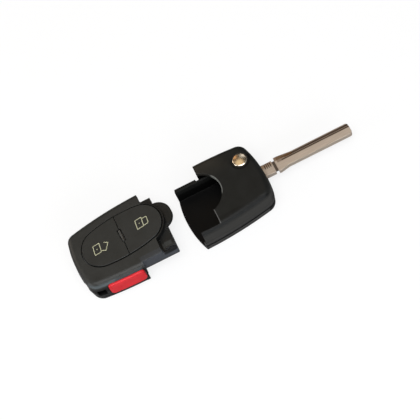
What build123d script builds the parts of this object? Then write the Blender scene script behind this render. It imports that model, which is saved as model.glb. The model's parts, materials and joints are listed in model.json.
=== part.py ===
from math import asin, cos, degrees, hypot
import os

from build123d import *

# A folding car key in two halves: the key head, with its flip-out blade, and the remote,
# which slides into the head along X. Each piece is drawn with the halves pushed together
# and the seam between their tops at x = 0, +X towards the blade's tip and z = 0 underneath.
# The remote is then drawn back by dock_travel, and the whole is set over its own middle.

# Case plan, at its widest on the parting plane
nose_reach = 31.5       # seam to the blade end
tail_reach = 43.3       # seam to the key-ring end
near_width = 20.2       # from the middle to the long side with the panic button
near_radius = 200.0
near_widest_x = -13.5   # where that side bulges most
far_width = 21.0        # from the middle to the long side with the blade channel
far_radius = 420.0      # on the parting plane
far_roof_radius = 170.0  # where that side meets the roof
far_base_radius = 300.0
far_widest_x = 4.5
end_radius = 60.0
nose_y = -2.0
tail_y = 1.5
nose_far_corner = 6.0
nose_near_corner = 6.5
tail_far_corner = 5.5
tail_near_corner = 6.5

# Case heights and walls
case_height = 16.5
parting_height = 8.3
roof_draw = 0.9         # how far the sides lean in, up to the roof
base_draw = 0.8         # and down to the base
roof_round = 3.0
base_round = 2.0
wall = 1.6
roof = 1.9
floor = 1.8

# How the halves meet
dock_travel = 32.0
dock_gap = 0.2          # between the halves where they slide past each other
rim_radius = 56.0       # curved end of the head's tray
rim_reach = 15.1        # how far the tray reaches under the remote
rim_y = 1.0
wing_thickness = 2.8    # head's side wing beside the remote
wing_reach = 10.7
shelf_reach = 7.6       # remote's tongue beyond the seam, under the head's roof
far_shelf_reach = 5.6   # the same beside the blade channel
far_shelf_y = 15.3
shelf_drop = 2.1        # roof face down to the shelf
shelf_root = 1.5        # how far the shelf reaches back under the remote's own roof
tongue_wall = 1.0
tongue_near_y = -13.4   # side of the tongue's lower part, clear of the wing
deck_top = 12.3         # deck under the keypad's end and over the blade channel
deck = 0.6
skin = 0.1              # inner solids stop this far short of the outer face
channel_wall = 1.9

# Latch pad in the sunken near corner of the shelf
pit_start = 0.3         # from the seam
pad_start = 2.4
pad_side_gap = 1.4
pad_rise = 0.9
pit_gap = 1.8           # round end to the pit

# Round end of the remote's tongue
round_end_x = 5.3
round_end_y = 4.3
round_end_radius = 7.5
round_end_step = 0.7    # its top below the shelf
round_end_height = 3.0

# Blade, flat on the parting plane
pivot_x = 22.9
pivot_inset = 10.9      # far side to the pivot
blade_offset = 7.9      # pivot to the blade's centre line
blade_reach = 57.0      # pivot to the tip
blade_width = 6.4
blade_thickness = 2.8
shoulder_rise = 0.9     # stop shoulders beside the neck
shoulder_start = 15.5   # from the pivot
near_shoulder_length = 5.8
far_shoulder_length = 2.0
far_shoulder_slope = 7.0
shoulder_slope = 1.2
neck_width = 5.6
neck_length = 1.6
neck_depth = 0.8
tip_round = 1.5
groove_offset = 1.75    # key groove to the centre line
groove_width = 0.9
groove_depth = 0.7
ridge_start = 9.6       # grip ridges on the blade's root, from the pivot
ridge_count = 4
ridge_pitch = 1.0
ridge_groove = 0.4
ridge_depth = 0.25
tang_width = 4.4
tang_length = 8.1

# Blade channel along the far side
slot_clearance = 0.4
channel_inset = 6.5     # far side to the channel's inner face
channel_end_gap = 1.2   # tip to the channel's closed end

# Hub
hub_radius = 6.3
hub_height = 8.0
hub_bore_radius = 4.95
hub_web = 1.2
hub_case_gap = 0.4      # arm to the case outline with the blade folded
arm_margin = 0.5        # arm beyond the blade's edges
arm_reach = 6.6
swing_gap = 0.3
pivot_fit = 0.05        # radial clearance of the hub on its post and boss
post_radius = 2.45
post_shoulder = 1.6     # foot of the post beyond its radius
roll_pin_radius = 1.0
roll_pin_x = 2.6        # from the pivot
roll_pin_margin = 0.4   # its ends below the arm's faces
root_gap = 0.1          # arm's end to the blade's full width
press_fit_gap = 0.01

# Release button and flip spring
button_radius = 3.85
button_fit = 0.08
button_rise = 0.8
button_travel = 1.2
button_round = 0.65
button_dome_radius = 22.0
button_flange_radius = 4.6
button_flange = 1.2
button_sink = 0.9       # hub's top down to the top of the flange
button_stop_gap = 0.3   # flange to the boss that holds it
stem_radius = 2.4
stem_length = 2.6
spring_wire = 0.9
spring_radius = 4.0
spring_turns = 3.5
spring_end_gap = 0.05

# Oval keypad
oval_half_length = 22.4
oval_half_width = 12.2
oval_side_radius = 70.0
oval_x = -14.9
oval_y = 1.5
oval_turn = 5.0         # long axis to X, in degrees
collar = 0.8            # wall around the oval where it stands in the head
key_gap = 0.45
key_rise = 0.35
key_bottom = 13.6
key_split = 0.4
key_round = 0.35
mat_thickness = 0.6
mat_rim = 1.2
mat_end = -2.0          # rim stops short of the seam
plunger_radius = 2.5
plunger_length = 1.0
plunger_spacing = 19.0
press_gap = 0.6         # button to mat
lens_width = 1.3
lens_length = 6.6

# Panic button in the near side
panic_x = -22.0
panic_length = 19.6
panic_drop = 1.0        # roof's inner face down to the button
panic_lift = 2.7        # floor's inner face up to the button
panic_corner = 2.0
panic_rise = 0.5
panic_round = 0.8
panic_gap = 0.3
panic_depth = 3.0       # outer face of the case to the inside of the cap
panic_flange = 0.8
panic_lip = 0.6
panic_pad_gap = 0.7
panic_pad_depth = 1.2

# Key-ring eye, an angled tunnel round a post in the corner
eye_width = 4.6
eye_height = 5.0
eye_bottom = 5.9
eye_x = -38.2
eye_y = -13.2
eye_wall = 1.2

# Shadow line round the head's lower half
shadow_bottom = 5.0
shadow_height = 0.6
shadow_depth = 0.4

# Screw and transponder clip in the head
screw_x = 15.8
screw_inset = 7.9       # near side to the screw
screw_radius = 1.1
screw_head_radius = 2.1
screw_head = 1.2
screw_slot = 0.6
screw_fit = 0.1
screw_length = 11.0
boss_radius = 2.6
chip_x = 23.5
chip_inset = 11.4
chip_length = 8.6
chip_width = 5.0
chip_height = 4.6
chip_wall = 0.9

# Battery holder and contacts
cell_x = -3.6
cell_y = -1.2
cell_radius = 8.0
cell_thickness = 1.6
holder_rim = 0.2
holder_floor = 0.8
holder_block_length = 2.6
holder_block_width = 8.0
holder_block_overlap = 0.5
contact_thickness = 0.3
contact_width = 4.0
contact_reach = 4.5     # past the middle of the cell

reach = nose_reach + tail_reach + blade_reach
wing_inner_y = wing_thickness - near_width
screw_y = screw_inset - near_width
chip_y = chip_inset - near_width
pivot_y = far_width - pivot_inset
channel_y = far_width - channel_inset
blade_y = pivot_y - blade_offset
blade_bottom = parting_height - blade_thickness / 2
blade_top = parting_height + blade_thickness / 2
slot_bottom = blade_bottom - slot_clearance
slot_top = blade_top + slot_clearance
shelf_top = case_height - shelf_drop
round_end_top = shelf_top - round_end_step
round_end_bottom = round_end_top - round_end_height
roof_under = case_height - roof
hub_bottom = parting_height - hub_height / 2
hub_top = parting_height + hub_height / 2
arm_half_width = blade_width / 2 + arm_margin
swing_radius = hypot(arm_reach, blade_offset + arm_half_width) + swing_gap
flange_top = hub_top - button_sink
flange_bottom = flange_top - button_flange
mat_top = key_bottom - press_gap
mat_bottom = mat_top - mat_thickness
deck_under = deck_top - deck
key_top = case_height + key_rise
panic_bottom = floor + panic_lift
panic_height = roof_under - panic_drop - panic_bottom
tongue_bottom = floor + dock_gap
tongue_floor = tongue_bottom + tongue_wall
channel_end = pivot_x - blade_reach - channel_end_gap
head_wall_top = deck_under - dock_gap
rest = Pos(-dock_travel, 0, 0)
pivot = Pos(pivot_x, pivot_y, 0)


def slab(x0, x1, y0, y1, z0, z1):
    middle = Pos((x0 + x1) / 2, (y0 + y1) / 2, (z0 + z1) / 2)
    return middle * Box(x1 - x0, y1 - y0, z1 - z0)


def flat(x0, x1, y0, y1):
    return Pos((x0 + x1) / 2, (y0 + y1) / 2) * Rectangle(x1 - x0, y1 - y0)


def prism(sketch, z0, z1):
    return extrude(Pos(0, 0, z0) * sketch, z1 - z0)


def drum(radius, z0, z1):
    return Pos(0, 0, z0) * Cylinder(radius, z1 - z0, align=(Align.CENTER, Align.CENTER, Align.MIN))


def case_plan(inset, far_side_radius):
    """Outline of the whole case, drawn in by inset on every side."""
    plan = Pos(far_widest_x, far_width - far_side_radius) * Circle(far_side_radius - inset)
    plan &= Pos(near_widest_x, near_radius - near_width) * Circle(near_radius - inset)
    plan &= Pos(nose_reach - end_radius, nose_y) * Circle(end_radius - inset)
    plan &= Pos(end_radius - tail_reach, tail_y) * Circle(end_radius - inset)
    corners = (
        (1, 1, nose_far_corner),
        (1, -1, nose_near_corner),
        (-1, 1, tail_far_corner),
        (-1, -1, tail_near_corner),
    )
    for along, across, radius in corners:
        corner = max(plan.vertices(), key=lambda v: along * v.X + across * v.Y)
        plan = fillet(corner, radius - inset)
    return plan


def upper_half(inset, drop):
    """Space between the parting plane and the roof, smaller by inset and drop."""
    low = Pos(0, 0, parting_height) * case_plan(inset, far_radius)
    high = Pos(0, 0, case_height - drop) * case_plan(roof_draw + inset, far_roof_radius)
    return loft([low.face(), high.face()], ruled=True)


def lower_half(inset, lift):
    low = Pos(0, 0, lift) * case_plan(base_draw + inset, far_base_radius)
    high = Pos(0, 0, parting_height) * case_plan(inset, far_radius)
    return loft([low.face(), high.face()], ruled=True)


def upper_case():
    block = upper_half(0, 0)
    return fillet(block.faces().sort_by(Axis.Z)[-1].edges(), roof_round)


def lower_case():
    block = lower_half(0, 0)
    return fillet(block.faces().sort_by(Axis.Z)[0].edges(), base_round)


def oval_plan(grow):
    """Keypad outline of four tangent arcs, grown by grow."""
    length = oval_half_length + grow
    width = oval_half_width + grow
    side = oval_side_radius + grow
    drop = side - width
    end = (side**2 - drop**2 - length**2) / (2 * (side - length))
    span = hypot(length - end, drop)
    x = side * (length - end) / span
    y = side * drop / span - drop
    arcs = [
        ThreePointArc((-x, y), (0, width), (x, y)),
        ThreePointArc((x, y), (length, 0), (x, -y)),
        ThreePointArc((x, -y), (0, -width), (-x, -y)),
        ThreePointArc((-x, -y), (-length, 0), (-x, y)),
    ]
    return Pos(oval_x, oval_y) * Rot(0, 0, oval_turn) * make_face(arcs)


def rim_zone(gap):
    """Everything on the head's side of the curved rim, moved outwards by gap."""
    return Pos(rim_radius - rim_reach, rim_y, 0) * Cylinder(rim_radius + gap, reach)


def near_wing(gap):
    """The strip beside the remote that belongs to the head's side wing."""
    return rim_zone(gap) & slab(-wing_reach - gap, 0, -reach, wing_inner_y + gap, -reach, reach)


def blade_slot():
    """Open slot in which the folded blade lies, along the far side."""
    return slab(channel_end, pivot_x, channel_y, reach, slot_bottom, slot_top)


def swing_space():
    """Room round the pivot for the hub and its arm as the blade swings out."""
    drum_space = pivot * drum(swing_radius, hub_bottom - swing_gap, hub_top + swing_gap)
    return drum_space & slab(-reach, reach, blade_y - arm_half_width - swing_gap, reach, -reach, reach)


def blade_exit():
    """Slot in the nose through which the blade's shoulders pass."""
    low_y = blade_y - blade_width / 2 - shoulder_rise - slot_clearance
    return slab(pivot_x, reach, low_y, pivot_y, slot_bottom, slot_top)


def head_bosses():
    """Bearing boss round the release button, and the screw boss under the roof."""
    bearing = pivot * drum(hub_radius - swing_gap, hub_top + swing_gap, roof_under)
    bearing += pivot * drum(hub_bore_radius - pivot_fit, flange_top + button_stop_gap, roof_under)
    screw = Pos(screw_x, screw_y, 0) * drum(boss_radius, parting_height, roof_under)
    return bearing + screw


def head_top_case():
    case = upper_case() & slab(0, reach, -reach, reach, 0, reach)
    case -= upper_half(wall, roof)
    case += upper_case() & near_wing(0)
    case -= swing_space()
    case -= blade_slot()
    case -= blade_exit()
    case += head_bosses()
    case -= prism(oval_plan(collar + dock_gap), shelf_top, reach)
    case -= pivot * drum(button_radius + button_fit, 0, reach)
    case -= Pos(screw_x, screw_y, 0) * drum(screw_radius, 0, screw_length + dock_gap)
    return case


def tray_wall():
    """Inner wall of the blade channel, thinner where the folded blade's shoulders lie."""
    inner_y = channel_y - channel_wall
    shoulder_y = pivot_y + blade_offset - blade_width / 2 - shoulder_rise
    shoulder_end = pivot_x - shoulder_start - far_shoulder_length - far_shoulder_slope
    end = pivot_x - swing_radius - wall
    tall = slab(-reach, shoulder_end, inner_y, channel_y, floor / 2, head_wall_top)
    tall += slab(shoulder_end, end, inner_y, shoulder_y - slot_clearance, floor / 2, head_wall_top)
    tall += slab(shoulder_end, end, inner_y, channel_y, floor / 2, slot_bottom)
    return tall & rim_zone(0)


def shadow_line():
    """Fine groove along the near side and the nose, below the parting plane."""
    top = shadow_bottom + shadow_height
    ring = lower_half(-wall, 0) - lower_half(shadow_depth, 0)
    return ring & slab(-reach, reach, -reach, 0, shadow_bottom, top)


def head_bottom_case():
    case = lower_case()
    tray = slab(-reach, 0, -reach, channel_y, -reach, reach) & rim_zone(0)
    head_side = slab(0, reach, -reach, reach, -reach, reach)
    hollow = lower_half(wall, floor) - near_wing(0)
    case = (case - hollow) & (head_side + tray)
    case += tray_wall()
    case -= swing_space()
    case -= blade_slot()
    case -= blade_exit()
    case += pivot * drum(post_radius + post_shoulder, floor / 2, hub_bottom - pivot_fit)
    case += pivot * drum(post_radius, floor / 2, hub_bottom + hub_web)
    case += Pos(screw_x, screw_y, 0) * drum(boss_radius, floor / 2, parting_height)
    case -= Pos(screw_x, screw_y, 0) * drum(screw_radius + screw_fit, 0, parting_height)
    case -= Pos(screw_x, screw_y, 0) * drum(screw_head_radius + screw_fit, 0, screw_head)
    return case - shadow_line()


def folded_case_room(clearance):
    """The case plan seen from the hub when the blade is folded."""
    return pivot * Rot(0, 0, 180) * pivot.inverse() * prism(
        case_plan(clearance, far_radius), hub_bottom, hub_top
    )


def blade_hub():
    arm = slab(
        pivot_x - hub_radius,
        pivot_x + arm_reach,
        blade_y - arm_half_width,
        pivot_y - hub_bore_radius / 2,
        hub_bottom,
        hub_top,
    )
    hub = (arm & folded_case_room(hub_case_gap)) + pivot * drum(hub_radius, hub_bottom, hub_top)
    hub -= pivot * drum(hub_bore_radius, hub_bottom + hub_web, hub_top)
    hub -= pivot * drum(post_radius + pivot_fit, hub_bottom, hub_top)
    hub -= tang(press_fit_gap)
    hub -= roll_pin(press_fit_gap)
    return hub


def tang(grow):
    """Narrow root of the blade inside the hub's arm."""
    end = pivot_x + arm_reach
    half = tang_width / 2 + grow
    return slab(
        end - tang_length - grow,
        end + root_gap,
        blade_y - half,
        blade_y + half,
        blade_bottom - grow,
        blade_top + grow,
    )


def roll_pin(grow):
    place = Pos(pivot_x + roll_pin_x, blade_y, 0)
    return place * drum(roll_pin_radius + grow, hub_bottom + roll_pin_margin - grow, hub_top - roll_pin_margin + grow)


def blade_plan():
    half = blade_width / 2
    start = pivot_x + arm_reach + root_gap
    neck = pivot_x + shoulder_start - neck_length
    shoulder = pivot_x + shoulder_start
    tip = pivot_x + blade_reach
    wide = half + shoulder_rise
    outline = Polyline(
        (start, half),
        (neck, half),
        (neck, neck_width / 2),
        (shoulder, neck_width / 2),
        (shoulder, wide),
        (shoulder + far_shoulder_length, wide),
        (shoulder + far_shoulder_length + far_shoulder_slope, half),
        (tip, half),
        (tip, -half),
        (shoulder + near_shoulder_length, -half),
        (shoulder + shoulder_slope, -wide),
        (shoulder, -wide),
        (shoulder, -neck_width / 2),
        (neck, -neck_width / 2),
        (neck, -half - shoulder_rise / 2),
        (start, -half - shoulder_rise / 2),
        close=True,
    )
    plan = make_face(outline)
    tips = plan.vertices().group_by(Axis.X)[-1]
    return Pos(0, blade_y) * fillet(tips, tip_round)


def key_blade():
    blade = prism(blade_plan(), blade_bottom, blade_top)
    neck = pivot_x + shoulder_start - neck_length
    for low, high in ((blade_bottom, blade_bottom + neck_depth), (blade_top - neck_depth, blade_top)):
        blade -= slab(neck, neck + neck_length, -reach, reach, low, high)
    start = pivot_x + shoulder_start + far_shoulder_length + far_shoulder_slope / 2
    for side, z in ((1, blade_top), (-1, blade_bottom)):
        y = blade_y + side * groove_offset
        blade -= slab(
            start, reach, y - groove_width / 2, y + groove_width / 2, z - groove_depth, z + groove_depth
        )
    for index in range(ridge_count):
        x = pivot_x + ridge_start + index * ridge_pitch
        blade -= slab(x, x + ridge_groove, blade_y, reach, blade_top - ridge_depth, blade_top + ridge_depth)
    blade += tang(0)
    blade -= roll_pin(press_fit_gap)
    return blade


def release_button():
    top = case_height + button_rise
    cap = drum(button_radius, flange_bottom, top)
    cap &= Pos(0, 0, top - button_dome_radius) * Sphere(button_dome_radius)
    crown = cap.faces().sort_by(Axis.Z)[-1]
    cap = fillet(max(crown.edges(), key=lambda edge: edge.length), button_round)
    cap += drum(button_flange_radius, flange_bottom, flange_top)
    cap += drum(stem_radius, flange_bottom - stem_length, flange_bottom)
    return pivot * cap


def flip_spring():
    low = hub_bottom + hub_web + spring_wire / 2 + spring_end_gap
    high = flange_bottom - spring_wire / 2 - spring_end_gap
    path = Helix((high - low) / spring_turns, high - low, spring_radius)
    section = Plane(path @ 0, z_dir=path % 0) * Circle(spring_wire / 2)
    return pivot * Pos(0, 0, low) * sweep(section, path)


def case_screw():
    screw = drum(screw_radius - press_fit_gap, screw_head, screw_length)
    head = drum(screw_head_radius, screw_fit, screw_head)
    half = screw_slot / 2
    head -= slab(-screw_radius, screw_radius, -half, half, 0, screw_head / 2)
    head -= slab(-half, half, -screw_radius, screw_radius, 0, screw_head / 2)
    return Pos(screw_x, screw_y, 0) * (screw + head)


def chip_holder():
    body = slab(-chip_length / 2, chip_length / 2, -chip_width / 2, chip_width / 2, floor, floor + chip_height)
    body -= slab(
        -chip_length / 2 + chip_wall,
        reach,
        -chip_width / 2 + chip_wall,
        chip_width / 2 - chip_wall,
        floor + chip_wall,
        reach,
    )
    return Pos(chip_x, chip_y, 0) * body


def tongue_plan(inset, low_y, high_y):
    """Stepped end of the remote beyond the seam, longer on the near side."""
    start = -rim_reach + inset
    tongue = flat(start, far_shelf_reach - inset, low_y + inset, high_y - inset)
    return tongue + flat(start, shelf_reach - inset, low_y + inset, round_end_y)


def upper_tongue_plan(inset):
    plan = tongue_plan(inset, wing_inner_y + dock_gap, far_shelf_y)
    return plan & flat(-shelf_root, reach, -reach, reach)


def lower_tongue_plan(inset):
    """The tongue's lower part, narrower, so that it clears the wing and the channel wall."""
    return tongue_plan(inset, tongue_near_y, channel_y - 2 * (channel_wall + dock_gap))


def round_end_plan(inset):
    return Pos(round_end_x, round_end_y) * Circle(round_end_radius - inset)


def channel_roof():
    """Wall and ceiling that part the blade channel from the inside of the remote."""
    inner_y = channel_y - channel_wall
    ceiling = slab(channel_end - wall, 0, inner_y, reach, parting_height, deck_top)
    inner_y -= dock_gap + channel_wall
    ceiling += slab(-rim_reach - wall, 0, inner_y, reach, parting_height, deck_top)
    return ceiling & upper_half(skin, 0)


def head_wall_slot():
    """Room for the head's free-standing channel wall to slide into the remote."""
    inner_y = channel_y - channel_wall - dock_gap
    return slab(-rim_reach, reach, inner_y, channel_y + dock_gap, -reach, deck_under)


def eye_tunnel():
    end_x = eye_x + eye_width
    end_y = eye_y + eye_width
    top = eye_bottom + eye_height
    side = slab(eye_x, end_x, -reach, end_y, eye_bottom, top)
    return side + slab(-reach, end_x, eye_y, end_y, eye_bottom, top)


def eye_block():
    """Solid corner round the key-ring tunnel."""
    end_x = eye_x + eye_width + eye_wall
    end_y = eye_y + eye_width + eye_wall
    low = eye_bottom - eye_wall
    return slab(-reach, end_x, -reach, end_y, low, low + eye_height + 2 * eye_wall)


def panic_place():
    """Middle of the panic button on the near side, +Y into the case."""
    turn = asin((panic_x - near_widest_x) / near_radius)
    y = near_radius * (1 - cos(turn)) - near_width
    return Pos(panic_x, y, panic_bottom + panic_height / 2) * Rot(0, 0, degrees(turn))


def panic_prism(grow, y0, y1):
    face = RectangleRounded(panic_length + 2 * grow, panic_height + 2 * grow, panic_corner + grow)
    return panic_place() * extrude(Plane.XZ.offset(-y1) * face, y1 - y0)


def remote_top_cover():
    cover = upper_case() & slab(-reach, 0, -reach, reach, 0, reach)
    cover -= upper_half(wall, roof)
    cover += eye_block() & upper_half(skin, skin)
    cover += channel_roof()
    cover += near_end_web() & upper_half(skin, roof / 2)
    cover -= near_wing(dock_gap)
    over_tray = slab(-reach, 0, -reach, wing_inner_y + dock_gap, 0, parting_height + dock_gap)
    cover -= rim_zone(dock_gap) & over_tray
    cover += remote_shelf()
    cover += prism(oval_plan(collar), deck_under, case_height) & slab(
        -shelf_root, reach, -reach, reach, 0, reach
    )
    cover -= prism(oval_plan(0), deck_top, reach)
    cover -= head_wall_slot()
    cover -= blade_slot()
    cover -= eye_tunnel()
    cover -= panic_prism(panic_gap, -reach, panic_depth)
    return rest * cover


def near_end_web():
    """Inner side wall of the remote beside the head's wing, closed at its tail end."""
    side_y = wing_inner_y + dock_gap + tongue_wall
    start = -wing_reach - dock_gap - tongue_wall
    return slab(start, 0, -reach, side_y, parting_height, reach) - near_wing(dock_gap)


def remote_shelf():
    """Stepped end of the remote that slides under the head's roof."""
    shelf = prism(upper_tongue_plan(0), parting_height, shelf_top)
    shelf += prism(round_end_plan(0), round_end_bottom, round_end_top)
    shelf -= prism(upper_tongue_plan(tongue_wall), parting_height + tongue_wall, deck_under)
    shelf -= prism(lower_tongue_plan(tongue_wall), 0, deck_under)
    shelf -= prism(round_end_plan(tongue_wall), 0, deck_under)
    shelf -= latch_pit()
    shelf &= upper_half(wall + dock_gap, 0)
    return shelf & slab(-shelf_root, reach, -reach, reach, 0, reach)


def latch_pit():
    """Sunken corner with its raised latch pad, open towards the nose."""
    low_y = wing_inner_y + dock_gap + tongue_wall
    high_y = round_end_y - round_end_radius - pit_gap
    pit = slab(pit_start, reach, low_y, high_y, deck_top, reach)
    pad = slab(pad_start, shelf_reach, low_y + pad_side_gap, high_y, 0, deck_top + pad_rise)
    return pit - pad


def remote_bottom_cover():
    cover = lower_case() - lower_half(wall, floor)
    inner_y = channel_y - channel_wall
    ledge = slab(channel_end - wall, 0, inner_y, reach, floor / 2, slot_bottom)
    ledge += slab(channel_end - wall, 0, inner_y, channel_y, floor / 2, parting_height)
    ledge += slab(channel_end - wall, channel_end, inner_y, reach, floor / 2, parting_height)
    rim_web = slab(-reach, 0, -reach, channel_y, floor / 2, tongue_floor)
    rim_web &= rim_zone(dock_gap + wall) - rim_zone(dock_gap)
    cover += (ledge + rim_web) & lower_half(skin, 0)
    cover += eye_block() & lower_half(skin, skin)
    cover &= slab(-reach, -dock_gap / 2, -reach, reach, -reach, reach)
    cover -= rim_zone(dock_gap) & slab(-reach, reach, -reach, channel_y + dock_gap, -reach, reach)
    cover += bottom_tongue()
    cover -= head_wall_slot()
    cover -= blade_slot()
    cover -= eye_tunnel()
    cover -= panic_prism(panic_gap, -reach, panic_depth)
    return rest * cover


def bottom_tongue():
    """Raised part of the remote's bottom cover that lies over the head's tray."""
    tongue = prism(lower_tongue_plan(0), tongue_bottom, parting_height)
    tongue += slab(-rim_reach - wall / 2, -rim_reach, tongue_near_y, channel_y - wall, tongue_bottom, tongue_floor)
    tongue -= prism(lower_tongue_plan(tongue_wall), tongue_floor, parting_height)
    return tongue - slab(-reach, tongue_wall - rim_reach, -reach, reach, tongue_floor, reach)


def key_cap(toward_nose):
    """One half of the oval, notched for the lens."""
    cap = prism(oval_plan(-key_gap), key_bottom, key_top)
    cap = fillet(cap.faces().sort_by(Axis.Z)[-1].edges(), key_round)
    middle = oval_x
    if toward_nose:
        cap &= slab(middle + key_split / 2, reach, -reach, reach, 0, reach)
    else:
        cap &= slab(-reach, middle - key_split / 2, -reach, reach, 0, reach)
    cap -= lens_block(key_gap, 0, reach)
    return rest * cap


def lens_block(grow, z0, z1):
    face = Rectangle(lens_width + 2 * grow, lens_length + 2 * grow)
    return prism(Pos(oval_x, oval_y) * Rot(0, 0, oval_turn) * face, z0, z1)


def lock_button():
    return key_cap(True)


def unlock_button():
    return key_cap(False)


def keypad_mat():
    """Rubber mat under the keys, hung from the roof by its rim."""
    plate = prism(oval_plan(-key_gap), mat_bottom, mat_top)
    rim = prism(oval_plan(mat_rim), mat_bottom, roof_under)
    plate += rim & slab(-reach, mat_end, -reach, reach, 0, reach)
    plate -= prism(oval_plan(-key_gap), mat_top, reach)
    for x in (oval_x - plunger_spacing / 2, oval_x + plunger_spacing / 2):
        plate += Pos(x, oval_y, 0) * drum(plunger_radius, mat_bottom - plunger_length, mat_bottom)
    return rest * plate


def led_lens():
    return rest * lens_block(0, mat_top, case_height + key_rise / 2)


def panic_button():
    back = panic_depth + panic_gap
    outside = Pos(near_widest_x, near_radius - near_width) * Cylinder(near_radius + panic_rise, reach)
    cap = panic_prism(0, -reach, back) & outside
    cap = fillet(cap.faces().sort_by(Axis.Y)[0].edges(), panic_round)
    flange = RectangleRounded(panic_length - 2 * panic_lip, panic_height + 2 * panic_lip, panic_corner)
    cap += panic_place() * extrude(Plane.XZ.offset(-back - panic_flange) * flange, panic_flange)
    return rest * cap


def panic_pad():
    """Rubber return pad behind the panic button."""
    start = panic_depth + panic_gap + panic_flange + panic_pad_gap
    face = RectangleRounded(panic_length / 2, panic_height - 2 * panic_lip, panic_lip)
    pad = extrude(Plane.XZ.offset(-start - panic_pad_depth) * face, panic_pad_depth)
    return rest * panic_place() * pad


def cell_place():
    return rest * Pos(cell_x, cell_y, tongue_floor)


def battery_holder():
    """Round seat for the cell, with the block that carries the upper contact."""
    radius = cell_radius + holder_rim
    seat = drum(radius, 0, holder_floor)
    height = holder_floor + contact_thickness + cell_thickness
    block_end = holder_block_overlap - radius
    half = holder_block_width / 2
    seat += slab(block_end - holder_block_length, block_end, -half, half, 0, height)
    return cell_place() * seat


def contact_strip(start, z):
    half = contact_width / 2
    return cell_place() * slab(start, contact_reach, -half, half, z, z + contact_thickness)


def lower_contact():
    return contact_strip(-contact_reach, holder_floor)


def upper_contact():
    start = -cell_radius - holder_block_length / 2
    return contact_strip(start, holder_floor + contact_thickness + cell_thickness)


pieces = (
    head_top_case,
    head_bottom_case,
    key_blade,
    blade_hub,
    release_button,
    flip_spring,
    case_screw,
    chip_holder,
    remote_top_cover,
    remote_bottom_cover,
    unlock_button,
    lock_button,
    keypad_mat,
    led_lens,
    panic_button,
    panic_pad,
    battery_holder,
    lower_contact,
    upper_contact,
)

built = {piece.__name__: piece() for piece in pieces}
built["blade_roll_pin"] = roll_pin(0)

box = Compound(children=[Part(s.wrapped) for s in built.values()]).bounding_box()
home = Pos(-box.center().X, -box.center().Y, -box.min.Z)
os.makedirs("parts", exist_ok=True)
for name, solid in built.items():
    export_step(home * solid, f"parts/{name}.step")
print("origin moved by", home.position)
print("size", box.size)
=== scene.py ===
import json
from math import radians

import bmesh
import bpy
from mathutils import Matrix, Vector


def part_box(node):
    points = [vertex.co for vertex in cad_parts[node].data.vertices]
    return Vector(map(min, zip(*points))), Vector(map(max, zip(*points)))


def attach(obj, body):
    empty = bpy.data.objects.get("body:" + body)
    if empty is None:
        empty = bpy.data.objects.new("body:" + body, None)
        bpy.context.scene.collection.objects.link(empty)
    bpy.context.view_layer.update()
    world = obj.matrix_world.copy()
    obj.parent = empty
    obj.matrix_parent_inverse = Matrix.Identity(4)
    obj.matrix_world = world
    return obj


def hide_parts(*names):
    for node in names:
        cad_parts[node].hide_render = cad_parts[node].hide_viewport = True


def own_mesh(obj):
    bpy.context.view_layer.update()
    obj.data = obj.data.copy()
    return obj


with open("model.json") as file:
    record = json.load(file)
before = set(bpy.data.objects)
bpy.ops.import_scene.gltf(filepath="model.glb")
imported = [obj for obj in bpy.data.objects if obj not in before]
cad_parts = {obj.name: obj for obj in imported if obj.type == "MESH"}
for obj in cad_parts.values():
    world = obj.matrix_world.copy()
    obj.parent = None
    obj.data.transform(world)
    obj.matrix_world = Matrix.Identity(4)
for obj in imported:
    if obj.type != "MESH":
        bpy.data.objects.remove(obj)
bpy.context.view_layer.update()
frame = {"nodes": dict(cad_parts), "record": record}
mm = 0.001

# Places are given in millimetres on the closed key, whose seam lies at x = 0
home = Vector((-2.3, -0.063, 0))  # that origin in this frame
drawnOut = 32.0  # how far back along X the remote lies
pivotAt = (22.9, 10.1)  # the blade turns here, under the chrome button


def place(x, y, z, onRemote=False):
    back = drawnOut if onRemote else 0.0
    return (Vector((x - back, y, z)) + home) * mm


# Camera, in metres and degrees, with its lens and sensor in millimetres
view = {
    "target": (-0.00401, -0.00259, 0.00659),
    "elevation": 60.0,
    "roll": 26.6,
    "distance": 0.667,
    "lens": 113.3,
    "sensor": 36,
    "farthest": 20,
}

tipBack = Matrix.Rotation(radians(90 - view["elevation"]), 4, "X")
cameraTurn = tipBack @ Matrix.Rotation(-radians(view["roll"]), 4, "Z")
lookFrom = Vector(view["target"]) + cameraTurn.to_3x3() @ Vector((0, 0, view["distance"]))
cameraData = bpy.data.cameras.new("photoCamera")
cameraData.lens = view["lens"]
cameraData.sensor_width = view["sensor"]
cameraData.clip_end = view["farthest"]
camera = bpy.data.objects.new("photoCamera", cameraData)
camera.matrix_world = Matrix.Translation(lookFrom) @ cameraTurn
bpy.context.scene.collection.objects.link(camera)
bpy.context.scene.camera = camera
print("camera set")


# Sets a socket to a number, a vector or a colour, or links another socket to it
def feed(links, value, socket):
    if isinstance(value, bpy.types.NodeSocket):
        links.new(value, socket)
    else:
        socket.default_value = value


def objectPoint(nodes):
    return nodes.new("ShaderNodeTexCoord").outputs["Object"]


def addNoise(nodes, links, where, scale, detail, roughness=0.5):
    noise = nodes.new("ShaderNodeTexNoise")
    links.new(where, noise.inputs["Vector"])
    feed(links, scale, noise.inputs["Scale"])
    noise.inputs["Detail"].default_value = detail
    noise.inputs["Roughness"].default_value = roughness
    return noise.outputs["Fac"]


def addMath(nodes, links, operation, *values):
    step = nodes.new("ShaderNodeMath")
    step.operation = operation
    for socket, value in zip(step.inputs, values):
        feed(links, value, socket)
    return step.outputs["Value"]


def addVectorMath(nodes, links, operation, *values):
    step = nodes.new("ShaderNodeVectorMath")
    step.operation = operation
    for socket, value in zip(step.inputs, values):
        feed(links, value, socket)
    return step.outputs["Value" if operation == "DISTANCE" else "Vector"]


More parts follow.
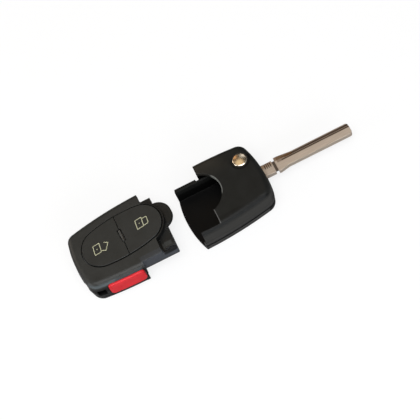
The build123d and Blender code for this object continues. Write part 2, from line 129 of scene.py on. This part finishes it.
# Carries a value from one span over to another
def remap(nodes, links, value, span, onto=(0.0, 1.0), kind="LINEAR"):
    step = nodes.new("ShaderNodeMapRange")
    step.interpolation_type = kind
    labels = ("Value", "From Min", "From Max", "To Min", "To Max")
    for label, given in zip(labels, (value, *span, *onto)):
        feed(links, given, step.inputs[label])
    return step.outputs["Result"]


def mixColour(nodes, links, under, over, amount):
    mix = nodes.new("ShaderNodeMix")
    mix.data_type = "RGBA"
    for label, given in (("A", under), ("B", over), ("Factor", amount)):
        feed(links, given, mix.inputs[label])
    return mix.outputs["Result"]


# Shader groups that the materials share
def startGroup(name, inputs, outputs):
    group = bpy.data.node_groups.new(name, "ShaderNodeTree")
    for label, value in inputs.items():
        kind = "NodeSocketVector" if isinstance(value, tuple) else "NodeSocketFloat"
        socket = group.interface.new_socket(name=label, in_out="INPUT", socket_type=kind)
        socket.default_value = value
    for label in outputs:
        group.interface.new_socket(name=label, in_out="OUTPUT", socket_type="NodeSocketFloat")
    return group, group.nodes.new("NodeGroupInput"), group.nodes.new("NodeGroupOutput")


def useGroup(nodes, group, values):
    used = nodes.new("ShaderNodeGroup")
    used.node_tree = group
    for label, value in values.items():
        used.inputs[label].default_value = value
    return used


noiseSpan = (0.3, 0.7)  # the noise seldom goes past these values


# Fine grain for the bump, and wide patches for the colour and the gloss
def makeMouldGrain():
    group, given, result = startGroup(
        "mouldGrain",
        {"Scale": 3000.0, "Patch Scale": 90.0, "Low": 0.4, "High": 0.6},
        ("Height", "Patch", "Roughness"),
    )
    nodes, links = group.nodes, group.links
    where = objectPoint(nodes)
    grain = addNoise(nodes, links, where, given.outputs["Scale"], detail=2)
    patch = addNoise(nodes, links, where, given.outputs["Patch Scale"], detail=4, roughness=0.6)
    gloss = remap(nodes, links, patch, noiseSpan, (given.outputs["Low"], given.outputs["High"]))
    links.new(grain, result.inputs["Height"])
    links.new(patch, result.inputs["Patch"])
    links.new(gloss, result.inputs["Roughness"])
    return group


# 1 inside a box in object space, 0 outside, with a soft border
def makeBoxMask():
    group, given, result = startGroup(
        "boxMask",
        {"Middle": (0.0, 0.0, 0.0), "Half": (0.01, 0.01, 0.01), "Border": 0.0005},
        ("Inside",),
    )
    nodes, links = group.nodes, group.links
    away = addVectorMath(nodes, links, "SUBTRACT", objectPoint(nodes), given.outputs["Middle"])
    away = addVectorMath(nodes, links, "ABSOLUTE", away)
    past = addVectorMath(nodes, links, "SUBTRACT", away, given.outputs["Half"])
    axes = nodes.new("ShaderNodeSeparateXYZ")
    links.new(past, axes.inputs["Vector"])
    most = addMath(nodes, links, "MAXIMUM", axes.outputs["X"], axes.outputs["Y"])
    most = addMath(nodes, links, "MAXIMUM", most, axes.outputs["Z"])
    share = addMath(nodes, links, "DIVIDE", most, given.outputs["Border"])
    links.new(remap(nodes, links, share, (1, -1), kind="SMOOTHSTEP"), result.inputs["Inside"])
    return group


# 1 on a round band seen from above, 0 off it
def makeRingMask():
    group, given, result = startGroup(
        "ringMask",
        {"Middle": (0.0, 0.0, 0.0), "Radius": 0.01, "Width": 0.001},
        ("Inside",),
    )
    nodes, links = group.nodes, group.links
    flat = addVectorMath(nodes, links, "MULTIPLY", objectPoint(nodes), (1, 1, 0))
    reach = addVectorMath(nodes, links, "DISTANCE", flat, given.outputs["Middle"])
    off = addMath(nodes, links, "SUBTRACT", reach, given.outputs["Radius"])
    off = addMath(nodes, links, "ABSOLUTE", off)
    span = [addMath(nodes, links, "MULTIPLY", given.outputs["Width"], share) for share in (0.75, 0.25)]
    links.new(remap(nodes, links, off, span, kind="SMOOTHSTEP"), result.inputs["Inside"])
    return group


mouldGrain = makeMouldGrain()
boxMask = makeBoxMask()
ringMask = makeRingMask()
print("shader groups made")


def newMaterial(name):
    material = bpy.data.materials.new(name)
    material.use_nodes = True
    nodes, links = material.node_tree.nodes, material.node_tree.links
    return material, nodes, links, nodes["Principled BSDF"]


# Base colour between a dark and a light tone, as a pattern goes
def patternColour(nodes, links, shader, pattern, dark, light):
    ramp = nodes.new("ShaderNodeValToRGB")
    for stop, position, colour in zip(ramp.color_ramp.elements, noiseSpan, (dark, light)):
        stop.position = position
        stop.color = (*colour, 1)
    links.new(pattern, ramp.inputs["Fac"])
    links.new(ramp.outputs["Color"], shader.inputs["Base Color"])


# A colour laid over part of a surface: in a box between two corners, with a soft border, and
# where a ring (x, y, radius, width) is given, only on that ring as seen from above
def tint(low, high, border, amount, colour, ring=None):
    return {"low": low, "high": high, "border": border, "amount": amount, "colour": colour, "ring": ring}


def layTint(nodes, links, shader, laid, onRemote):
    low, high = place(*laid["low"], onRemote), place(*laid["high"], onRemote)
    box = {"Middle": (low + high) / 2, "Half": (high - low) / 2, "Border": laid["border"] * mm}
    inside = useGroup(nodes, boxMask, box).outputs["Inside"]
    amount = addMath(nodes, links, "MULTIPLY", inside, laid["amount"])
    if laid["ring"]:
        x, y, radius, width = laid["ring"]
        ring = {"Middle": place(x, y, 0, onRemote), "Radius": radius * mm, "Width": width * mm}
        inside = useGroup(nodes, ringMask, ring).outputs["Inside"]
        amount = addMath(nodes, links, "MULTIPLY", amount, inside)
    under = shader.inputs["Base Color"].links[0].from_socket
    links.new(mixColour(nodes, links, under, (*laid["colour"], 1), amount), shader.inputs["Base Color"])


edgeSamples = 6


# Bump from a height, over edges that look slightly rounded
def roughen(nodes, links, shader, height, strength, depth, edge):
    bevel = nodes.new("ShaderNodeBevel")
    bevel.samples = edgeSamples
    bevel.inputs["Radius"].default_value = edge * mm
    bump = nodes.new("ShaderNodeBump")
    bump.inputs["Strength"].default_value = strength
    bump.inputs["Distance"].default_value = depth * mm
    links.new(height, bump.inputs["Height"])
    links.new(bevel.outputs["Normal"], bump.inputs["Normal"])
    links.new(bump.outputs["Normal"], shader.inputs["Normal"])


def grey(level):
    return (level, level, level)


# Materials of the solids. Pattern scales are per metre, edges and tints in millimetres.
# painted sheen: light painted along the case's near side
paintedSheen = (0.036, 0.0345, 0.032)
grainDepth = 0.1
usual = {"specular": 0.5, "metallic": 0, "coat": 0, "coatRoughness": 0.1, "tints": [], "onRemote": False}

# Strips along the head's near side: painted light over its fine groove, painted shade in the groove itself,
# and painted light under it
nearStretches = ((-20, 15, -16.6), (15, 29.3, -11))  # from x, to x, inner y
nearStrips = (
    {"bottom": 6.5, "top": 8.5, "end": 29.3, "colour": paintedSheen},
    {"bottom": 4.7, "top": 6.4, "end": 29.3, "colour": grey(0.0004)},
    {"bottom": 2.2, "top": 4.6, "end": 25.5, "colour": (0.042, 0.04, 0.037)},
)

looks = {
    "black_case": {
        "dark": (0.0098, 0.0099, 0.009), "light": (0.0138, 0.0139, 0.0128), "roughness": (0.36, 0.46),
        "grainScale": 5000, "patchScale": 120, "grainStrength": 0.25, "edge": 0.6, "specular": 0.14,
        "tints": [
            # low sides, turned from the light
            tint((-20, -30, 0), (50, 30, 10.5), border=1.5, amount=0.85, colour=grey(0.001)),
            # warm light on the far tail corner of the roof
            tint((-20, 14, 0), (12, 40, 33), border=8.0, amount=0.9, colour=(0.028, 0.0245, 0.019)),
            # the near side catches the light under its rounded edge
            tint((-20, -30, 7), (28.8, -11, 14.6), border=1.2, amount=0.9, colour=paintedSheen),
            # painted shade along the rounded edge itself
            tint((-20, -30, 15.1), (35, -14, 16.4), border=0.3, amount=0.8, colour=grey(0.001)),
            # edges that catch the light: the cut-out's lip and the seam beside it
            tint(
                (5, -2.5, 14), (12, 9.5, 17), border=0.8, amount=0.85,
                colour=(0.16, 0.165, 0.155), ring=(-2.84, 2.56, 11.5, 0.55),
            ),
            tint(
                (-1, -17.5, 15.5), (0.45, -8.8, 17), border=0.12, amount=0.7,
                colour=(0.12, 0.12, 0.115),
            ),
            # shade round the sunk button
            tint(
                (18, 4, 14), (29, 11.5, 17), border=0.8, amount=0.85,
                colour=grey(0.0008), ring=(*pivotAt, 4.9, 0.9),
            ),
        ],
    },
    # darker copy of the case plastic for the head's bottom case: painted shade
    "tray_case": {
        "dark": (0.006, 0.006, 0.0056), "light": (0.009, 0.009, 0.0084), "roughness": (0.42, 0.5),
        "grainScale": 5000, "patchScale": 120, "grainStrength": 0.25, "edge": 0.3, "specular": 0.15,
        "tints": [
            # painted shade inside the tray, and on its low outer side
            tint((-16, -16.2, 0), (20, 17, 8), border=0.6, amount=0.9, colour=grey(0.0005)),
            tint((-20, -30, -1), (50, 30, 5.3), border=0.4, amount=0.9, colour=grey(0.0005)),
            # painted light on the outside of the wing, and painted shade along its rounded edge
            tint((-20, -30, 7), (0.5, -14.6, 14.6), border=1.2, amount=0.9, colour=paintedSheen),
            tint((-20, -30, 15.1), (0.5, -14, 16.4), border=0.3, amount=0.8, colour=grey(0.001)),
        ] + [
            tint(
                (start, -30, strip["bottom"]), (min(stop, strip["end"]), inner, strip["top"]),
                border=0.2, amount=0.92, colour=strip["colour"],
            )
            for start, stop, inner in nearStretches for strip in nearStrips
        ],
    },
    # lighter copy of the case plastic for the remote's shells: painted light
    "remote_case": {
        "dark": (0.022, 0.022, 0.0202), "light": (0.028, 0.028, 0.0258), "roughness": (0.36, 0.46),
        "grainScale": 5000, "patchScale": 120, "grainStrength": 0.25, "edge": 0.25, "specular": 0.25,
        "onRemote": True,
        "tints": [
            # low sides, turned from the light
            tint((-50, -30, -1), (-11.5, 30, 12.3), border=1.6, amount=0.92, colour=grey(0.001)),
            # cool sheen on the near slope beside the red button
            tint(
                (-11.2, -30, 9), (20, -14.8, 16.4), border=0.7, amount=0.85,
                colour=(0.049, 0.053, 0.063),
            ),
            # and a thin light line right over it, stronger towards the key ring
            tint(
                (-40, -30, 13.5), (-27, -14, 15.2), border=0.8, amount=0.9,
                colour=(0.086, 0.101, 0.108),
            ),
            tint(
                (-27, -30, 13.5), (-13, -14, 15.0), border=0.8, amount=0.75,
                colour=(0.053, 0.062, 0.07),
            ),
            # painted shade in the gap round the keys, then on the shelf in front of them
            tint((-38.6, -12.5, 0), (0.3, 15, 16.2), border=0.1, amount=0.95, colour=grey(0.0003)),
            tint(
                (0.3, -13.2, 0), (20, 14.8, 16.2), border=0.15, amount=0.62,
                colour=(0.004, 0.004, 0.0036),
            ),
            # painted shade round the collar in front of the oval and along the latch corner's edges, then a
            # painted highlight on its pad
            tint(
                (0.3, -15, 12), (20, 17, 17), border=0.3, amount=0.8,
                colour=grey(0.002), ring=(-3.65, 2.48, 11.55, 0.95),
            ),
            tint((0.6, -17.8, 12), (7.8, -15.6, 15.2), border=0.3, amount=0.95, colour=grey(0.0005)),
            tint((0.3, -15.2, 12), (1.3, -7, 14.7), border=0.3, amount=0.7, colour=grey(0.0005)),
            tint(
                (1.3, -13.7, 12), (6.2, -11.3, 13.5), border=0.5, amount=0.9,
                colour=(0.045, 0.047, 0.045),
            ),
            # painted shade in the gap at the red button's end, and inside the key-ring eye
            tint((-12.4, -26, 4), (-11, -17.2, 14.3), border=0.15, amount=0.9, colour=grey(0.0005)),
            tint((-38.3, -17.2, 5.8), (-33.5, -8.5, 11), border=0.1, amount=0.95, colour=grey(0.0003)),
        ],
    },
    "key_plastic": {
        "dark": (0.021, 0.021, 0.0192), "light": (0.0255, 0.0255, 0.0232), "roughness": (0.38, 0.46),
        "grainScale": 5000, "patchScale": 120, "grainStrength": 0.15, "edge": 0.1, "specular": 0.25,
        "onRemote": True,
        "tints": [
            # painted shade on the sides of the keys, below their top faces
            tint((-50, -30, 0), (20, 30, 16.62), border=0.1, amount=0.97, colour=grey(0.0003)),
            # rims turned away from the light, at the tail end and along the near side
            tint(
                (-38.5, -12, 16), (-28, 9, 17), border=1.0, amount=0.85,
                colour=grey(0.001), ring=(-26.15, 0.52, 10.56, 0.3),
            ),
            tint(
                (-28, -13, 16), (-1, -5, 17), border=1.0, amount=0.85,
                colour=grey(0.001), ring=(-19.94, 59.08, 69.45, 0.3),
            ),
        ],
    },
    "red_plastic": {
        "dark": (0.53, 0.014, 0.02), "light": (0.65, 0.023, 0.031), "roughness": (0.36, 0.46),
        "grainScale": 2500, "patchScale": 200, "grainStrength": 0.25, "edge": 0.3, "specular": 0.25,
    },
    "clear_lens": {
        "dark": (0.04, 0.04, 0.0385), "light": (0.06, 0.06, 0.058), "roughness": (0.2, 0.28),
        "grainScale": 3000, "patchScale": 400, "grainStrength": 0.05, "edge": 0.1, "specular": 0.3,
        "coat": 0.2, "onRemote": True,
        "tints": [
            # painted shade along one side of the lens
            tint((-14.7, -6, 10), (-13, 9, 18), border=0.15, amount=0.9, colour=grey(0.003)),
        ],
    },
    "chrome_button": {
        "dark": (0.7, 0.6, 0.46), "light": (0.8, 0.69, 0.535), "roughness": (0.16, 0.24),
        "grainScale": 2500, "patchScale": 300, "grainStrength": 0.02, "edge": 0.2, "metallic": 1,
    },
    "hub_plastic": {
        "dark": (0.02, 0.02, 0.02), "light": (0.03, 0.03, 0.029), "roughness": (0.5, 0.6),
        "grainScale": 4000, "patchScale": 150, "grainStrength": 0.2, "edge": 0.2,
    },
    "plain_steel": {
        "dark": (0.4, 0.4, 0.41), "light": (0.55, 0.55, 0.56), "roughness": (0.25, 0.35),
        "grainScale": 4000, "patchScale": 500, "grainStrength": 0.1, "edge": 0.1, "metallic": 1,
    },
    "spring_steel": {
        "dark": (0.35, 0.35, 0.36), "light": (0.5, 0.5, 0.51), "roughness": (0.2, 0.3),
        "grainScale": 4000, "patchScale": 500, "grainStrength": 0.05, "edge": 0.05, "metallic": 1,
    },
    "inner_plastic": {
        "dark": (0.05, 0.05, 0.052), "light": (0.07, 0.07, 0.072), "roughness": (0.5, 0.6),
        "grainScale": 4000, "patchScale": 150, "grainStrength": 0.2, "edge": 0.15,
    },
    "mat_rubber": {
        "dark": (0.1, 0.1, 0.104), "light": (0.13, 0.13, 0.135), "roughness": (0.7, 0.8),
        "grainScale": 3000, "patchScale": 150, "grainStrength": 0.2, "edge": 0.2,
    },
    "print_ink": {
        "dark": (0.38, 0.37, 0.235), "light": (0.46, 0.45, 0.31), "roughness": (0.5, 0.6),
        "grainScale": 6000, "patchScale": 500, "grainStrength": 0.2, "edge": 0.02,
    },
    "plated_contact": {
        "dark": (0.66, 0.65, 0.62), "light": (0.76, 0.75, 0.72), "roughness": (0.2, 0.3),
        "grainScale": 4000, "patchScale": 300, "grainStrength": 0.05, "edge": 0.05, "metallic": 1,
    },
}


def grainedFinish(name, given):
    look = {**usual, **given}
    material, nodes, links, shader = newMaterial(name)
    grain = useGroup(nodes, mouldGrain, {
        "Scale": look["grainScale"], "Patch Scale": look["patchScale"],
        "Low": look["roughness"][0], "High": look["roughness"][1],
    }).outputs
    patternColour(nodes, links, shader, grain["Patch"], look["dark"], look["light"])
    for laid in look["tints"]:
        layTint(nodes, links, shader, laid, look["onRemote"])
    links.new(grain["Roughness"], shader.inputs["Roughness"])
    roughen(nodes, links, shader, grain["Height"], look["grainStrength"], grainDepth, look["edge"])
    shader.inputs["Metallic"].default_value = look["metallic"]
    shader.inputs["Specular IOR Level"].default_value = look["specular"]
    shader.inputs["Coat Weight"].default_value = look["coat"]
    shader.inputs["Coat Roughness"].default_value = look["coatRoughness"]
    return material


# Blade, brushed along its length
blade = {
    "dark": (0.6, 0.51, 0.425), "light": (0.76, 0.65, 0.55), "roughness": (0.5, 0.62),
    "brush": (150, 9000, 9000), "brushStrength": 0.15, "brushDepth": 0.05, "edge": 0.2,
    "ridges": (32.5, 33.5, 34.5, 35.5), "ridgeWidth": 0.42,
    "tints": [
        # the cut's far strip, darker and browner, with a line of painted shade each side of it
        tint((39.5, 2.75, 5), (90, 6, 12), border=0.25, amount=0.6, colour=(0.2, 0.12, 0.07)),
        tint((42, 2.9, 5), (90, 3.5, 12), border=0.15, amount=0.85, colour=(0.05, 0.03, 0.02)),
        tint((42, 4.3, 5), (90, 4.85, 12), border=0.15, amount=0.85, colour=(0.04, 0.025, 0.018)),
        # painted shade in the neck; the far shoulder and the root beside the grip ridges darker and browner
        tint((36.9, -3, 5), (38.3, 8, 12), border=0.15, amount=0.85, colour=(0.06, 0.04, 0.03)),
        tint((38.4, 4.2, 5), (48, 8, 12), border=0.4, amount=0.7, colour=(0.2, 0.11, 0.05)),
        tint((30, 3.0, 5), (36.6, 8, 12), border=0.6, amount=0.6, colour=(0.3, 0.16, 0.07)),
    ],
}
# painted shade lines along the grip ridges
blade["tints"] += [
    tint((x, 2.4, 5), (x + blade["ridgeWidth"], 8, 12), border=0.08, amount=0.85, colour=(0.05, 0.03, 0.02))
    for x in blade["ridges"]
]


def nickelSilver(look):
    material, nodes, links, shader = newMaterial("nickel_silver")
    stretch = nodes.new("ShaderNodeMapping")
    stretch.inputs["Scale"].default_value = look["brush"]
    links.new(objectPoint(nodes), stretch.inputs["Vector"])
    lines = addNoise(nodes, links, stretch.outputs["Vector"], scale=1.0, detail=3)
    patternColour(nodes, links, shader, lines, look["dark"], look["light"])
    for laid in look["tints"]:
        layTint(nodes, links, shader, laid, onRemote=False)
    links.new(remap(nodes, links, lines, (0, 1), look["roughness"]), shader.inputs["Roughness"])
    roughen(nodes, links, shader, lines, look["brushStrength"], look["brushDepth"], look["edge"])
    shader.inputs["Metallic"].default_value = 1
    return material


finishes = {name: grainedFinish(name, look) for name, look in looks.items()}
finishes["nickel_silver"] = nickelSilver(blade)

# Shells that get lighter and darker copies of their plastic: painted light on the remote's shells, painted
# shade on the head's bottom case
paintedLightAndShadeCopies = {
    "head_bottom_case": "tray_case",
    "remote_top_cover": "remote_case",
    "remote_bottom_cover": "remote_case",
}

for part in frame["record"]["subparts"]:
    solid = frame["nodes"][part["node"]]
    solid.data.materials.clear()
    solid.data.materials.append(finishes[paintedLightAndShadeCopies.get(part["node"], part["material_slot"])])
print("materials on", len(frame["nodes"]), "solids")


def addObject(name, mesh, finish):
    data = bpy.data.meshes.new(name)
    mesh.to_mesh(data)
    mesh.free()
    data.materials.append(finish)
    made = bpy.data.objects.new(name, data)
    bpy.context.scene.collection.objects.link(made)
    return made


# Coil under the release button, wound anew
coil = {
    "radius": 4.0, "wire": 0.9, "turns": 3.5, "sides": 12, "stepsPerTurn": 36,
    "travel": 1.2,  # of the button
}

foot, crown = (corner.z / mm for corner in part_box("flip_spring"))


def windCoil():
    wireRadius = coil["wire"] / 2
    steps = int(coil["turns"] * coil["stepsPerTurn"])
    rise = crown - foot - coil["wire"]
    start = Matrix.Translation((coil["radius"], 0, foot + wireRadius))
    upright = Matrix.Rotation(radians(90), 4, "X")
    mesh = bmesh.new()
    bmesh.ops.create_circle(mesh, segments=coil["sides"], radius=wireRadius, matrix=start @ upright)
    bmesh.ops.spin(
        mesh, geom=mesh.verts[:] + mesh.edges[:], cent=(0, 0, 0), axis=(0, 0, 1),
        dvec=(0, 0, rise / steps), angle=radians(360 * coil["turns"]), steps=steps,
    )
    bmesh.ops.holes_fill(mesh, edges=[edge for edge in mesh.edges if edge.is_boundary])
    bmesh.ops.recalc_face_normals(mesh, faces=mesh.faces[:])
    for face in mesh.faces:
        face.smooth = len(face.verts) == 4
    bmesh.ops.translate(mesh, vec=Vector((*pivotAt, 0)) + home, verts=mesh.verts[:])
    bmesh.ops.scale(mesh, vec=(mm, mm, mm), verts=mesh.verts[:])
    return addObject("flip_coil", mesh, finishes["spring_steel"])


flipCoil = windCoil()
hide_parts("flip_spring")
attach(flipCoil, "head")
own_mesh(flipCoil)
print("coil wound,", len(flipCoil.data.polygons), "faces")

# Padlock prints on the two keys: a body with a dot in it, and a shackle beside it
padlock = {
    "body": (3.95, 5.55), "corner": 0.35, "cornerSteps": 6, "stroke": 0.38,
    "dot": 0.28, "dotSides": 24, "thickness": 0.03, "keyTop": 16.85,
    "along": (0.9945, 0.105), "across": (0.088, 0.996),  # the print's slanted axes
}
closedPadlock = {
    "at": (-4.33, 2.97),
    "shackle": (5.8, 4.4), "corner": 0.9, "cut": 0, "offset": (1.8, -0.4), "lean": 0,
}
openPadlock = {
    "at": (-28.88, 0.4),
    "shackle": (5.0, 4.5), "corner": 0.4, "cut": -0.1, "offset": (3.36, -0.36), "lean": -30,
}


# One rounded outline, cut off on the side where the body covers it
def outline(size, corner, cutAt=None):
    mesh = bmesh.new()
    bmesh.ops.create_grid(mesh, x_segments=1, y_segments=1, size=0.5)  # 1 mm each way
    bmesh.ops.scale(mesh, vec=(*size, 1), verts=mesh.verts[:])
    bmesh.ops.bevel(
        mesh, geom=mesh.verts[:], offset=corner, offset_type="OFFSET", affect="VERTICES",
        segments=padlock["cornerSteps"], profile=0.5, material=-1,
    )
    middle = mesh.faces[:]
    bmesh.ops.inset_region(
        mesh, faces=middle, thickness=padlock["stroke"], use_even_offset=True, use_boundary=True,
    )
    bmesh.ops.delete(mesh, geom=middle, context="FACES")
    if cutAt is not None:
        bmesh.ops.bisect_plane(
            mesh, geom=mesh.verts[:] + mesh.edges[:] + mesh.faces[:], plane_co=(cutAt, 0, 0),
            plane_no=(1, 0, 0), clear_inner=True,
        )
    return mesh


def drawDot():
    mesh = bmesh.new()
    bmesh.ops.create_circle(mesh, cap_ends=True, segments=padlock["dotSides"], radius=padlock["dot"])
    return mesh


def drawShackle(lock):
    mesh = outline(lock["shackle"], lock["corner"], lock["cut"])
    lean = Matrix.Rotation(radians(lock["lean"]), 3, "Z")
    bmesh.ops.rotate(mesh, cent=(0, 0, 0), matrix=lean, verts=mesh.verts[:])
    bmesh.ops.translate(mesh, vec=(*lock["offset"], 0), verts=mesh.verts[:])
    return mesh


def joined(strokes):
    whole = bmesh.new()
    carrier = bpy.data.meshes.new("stroke")
    for stroke in strokes:
        stroke.to_mesh(carrier)
        whole.from_mesh(carrier)
        stroke.free()
    bpy.data.meshes.remove(carrier)
    return whole


def printOnKey(name, lock, body):
    whole = joined([outline(padlock["body"], padlock["corner"]), drawShackle(lock), drawDot()])
    slant = Matrix((padlock["along"], padlock["across"])).transposed().to_4x4()
    bmesh.ops.transform(whole, matrix=slant, verts=whole.verts[:])
    bmesh.ops.solidify(whole, geom=whole.faces[:], thickness=padlock["thickness"])
    bmesh.ops.recalc_face_normals(whole, faces=whole.faces[:])
    sunk = padlock["thickness"] / 5  # into the key, so that no gap shows under the ink
    up = padlock["keyTop"] - sunk - min(vert.co.z for vert in whole.verts)
    bmesh.ops.translate(whole, vec=(*lock["at"], up), verts=whole.verts[:])
    bmesh.ops.translate(whole, vec=home - Vector((drawnOut, 0, 0)), verts=whole.verts[:])
    bmesh.ops.scale(whole, vec=(mm, mm, mm), verts=whole.verts[:])
    piece = addObject(name, whole, finishes["print_ink"])
    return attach(piece, body)


printOnKey("lock_print", closedPadlock, "lock")
printOnKey("unlock_print", openPadlock, "unlock")
print("padlocks printed")

# Floor of pale paper. It glows a little for the camera, which thins the shadows on it.
paper = {
    "size": 30.0, "dark": grey(0.95), "light": grey(0.98), "mottle": 3.0, "roughness": 0.9, "specular": 0.1,
    "bounce": grey(0.3), "glow": 0.8, "glowStrength": 0.98,
}


def makePaper():
    material, nodes, links, shader = newMaterial("floor_paper")
    tone = addNoise(nodes, links, objectPoint(nodes), paper["mottle"], detail=2)
    patternColour(nodes, links, shader, tone, paper["dark"], paper["light"])
    seen = nodes.new("ShaderNodeLightPath").outputs["Is Camera Ray"]
    bright = shader.inputs["Base Color"].links[0].from_socket
    links.new(mixColour(nodes, links, (*paper["bounce"], 1), bright, seen), shader.inputs["Base Color"])
    shader.inputs["Roughness"].default_value = paper["roughness"]
    shader.inputs["Specular IOR Level"].default_value = paper["specular"]
    glow = nodes.new("ShaderNodeEmission")
    glow.inputs["Strength"].default_value = paper["glowStrength"]
    blendIn = nodes.new("ShaderNodeMixShader")
    links.new(addMath(nodes, links, "MULTIPLY", seen, paper["glow"]), blendIn.inputs["Fac"])
    links.new(shader.outputs["BSDF"], blendIn.inputs[1])
    links.new(glow.outputs["Emission"], blendIn.inputs[2])
    links.new(blendIn.outputs["Shader"], nodes["Material Output"].inputs["Surface"])
    return material


floorMesh = bmesh.new()
bmesh.ops.create_grid(floorMesh, x_segments=1, y_segments=1, size=paper["size"] / 2)
floor = addObject("floor", floorMesh, makePaper())
print("floor laid")

# The room is bright on the near side and dim on the far side, and white where the camera sees it
room = {"far": (0.045, 0.043, 0.04), "near": (0.42, 0.45, 0.48), "span": (0.35, -0.7), "backdrop": 0.98}


def makeWorld():
    world = bpy.data.worlds.new("studio")
    world.use_nodes = True
    nodes, links = world.node_tree.nodes, world.node_tree.links
    split = nodes.new("ShaderNodeSeparateXYZ")
    links.new(nodes.new("ShaderNodeTexCoord").outputs["Generated"], split.inputs["Vector"])
    nearness = remap(nodes, links, split.outputs["Y"], room["span"])
    sky = mixColour(nodes, links, (*room["far"], 1), (*room["near"], 1), nearness)
    links.new(sky, nodes["Background"].inputs["Color"])
    plain = nodes.new("ShaderNodeBackground")
    plain.inputs["Color"].default_value = (1, 1, 1, 1)
    plain.inputs["Strength"].default_value = room["backdrop"]
    choose = nodes.new("ShaderNodeMixShader")
    links.new(nodes.new("ShaderNodeLightPath").outputs["Is Camera Ray"], choose.inputs["Fac"])
    links.new(nodes["Background"].outputs["Background"], choose.inputs[1])
    links.new(plain.outputs["Background"], choose.inputs[2])
    links.new(choose.outputs["Shader"], nodes["World Output"].inputs["Surface"])
    return world


bpy.context.scene.world = makeWorld()
bpy.context.scene.view_settings.view_transform = "Standard"

# Soft boxes, in metres and watts, all turned to the key
softboxes = {
    "overhead_light": {"at": (-0.1, -0.55, 1.5), "size": (1.3, 1.1), "power": 20, "colour": (1, 1, 1)},
    "near_light": {"at": (0.25, -1.35, 0.55), "size": (1.3, 0.6), "power": 12, "colour": (0.93, 0.97, 1)},
    "left_light": {"at": (-1.3, -0.15, 0.4), "size": (0.7, 0.5), "power": 6, "colour": (1, 1, 1)},
    "far_left_light": {"at": (-0.9, 0.75, 0.55), "size": (0.5, 0.5), "power": 3, "colour": (1, 0.86, 0.72)},
}
keyMiddle = Vector((0, 0, 0.01))

# Small round cards that the domed button mirrors, each placed from the button's top
cards = {
    "amber_card": {"at": (-0.14, 0.79, 0.77), "size": 0.26, "power": 0.19, "colour": (1, 0.55, 0.25)},
    "cream_card": {"at": (-0.04, 0.4, 1.02), "size": 0.42, "power": 0.42, "colour": (1, 0.8, 0.52)},
    "white_card": {"at": (0.24, 0.68, 0.84), "size": 0.2, "power": 0.14, "colour": (1, 1, 1)},
}
domeHeight = 17.0
buttonTop = place(*pivotAt, domeHeight)


def addLamp(name, lamp, shape, size, position, aim):
    data = bpy.data.lights.new(name, "AREA")
    data.shape = shape
    data.size, data.size_y = size
    data.energy = lamp["power"]
    data.color = lamp["colour"]
    hung = bpy.data.objects.new(name, data)
    turn = (aim - position).to_track_quat("-Z", "Y").to_matrix().to_4x4()
    hung.matrix_world = Matrix.Translation(position) @ turn
    bpy.context.scene.collection.objects.link(hung)


for name, lamp in softboxes.items():
    addLamp(name, lamp, "RECTANGLE", lamp["size"], Vector(lamp["at"]), keyMiddle)
for name, lamp in cards.items():
    addLamp(name, lamp, "ELLIPSE", (lamp["size"],) * 2, buttonTop + Vector(lamp["at"]), buttonTop)
print("room lit")
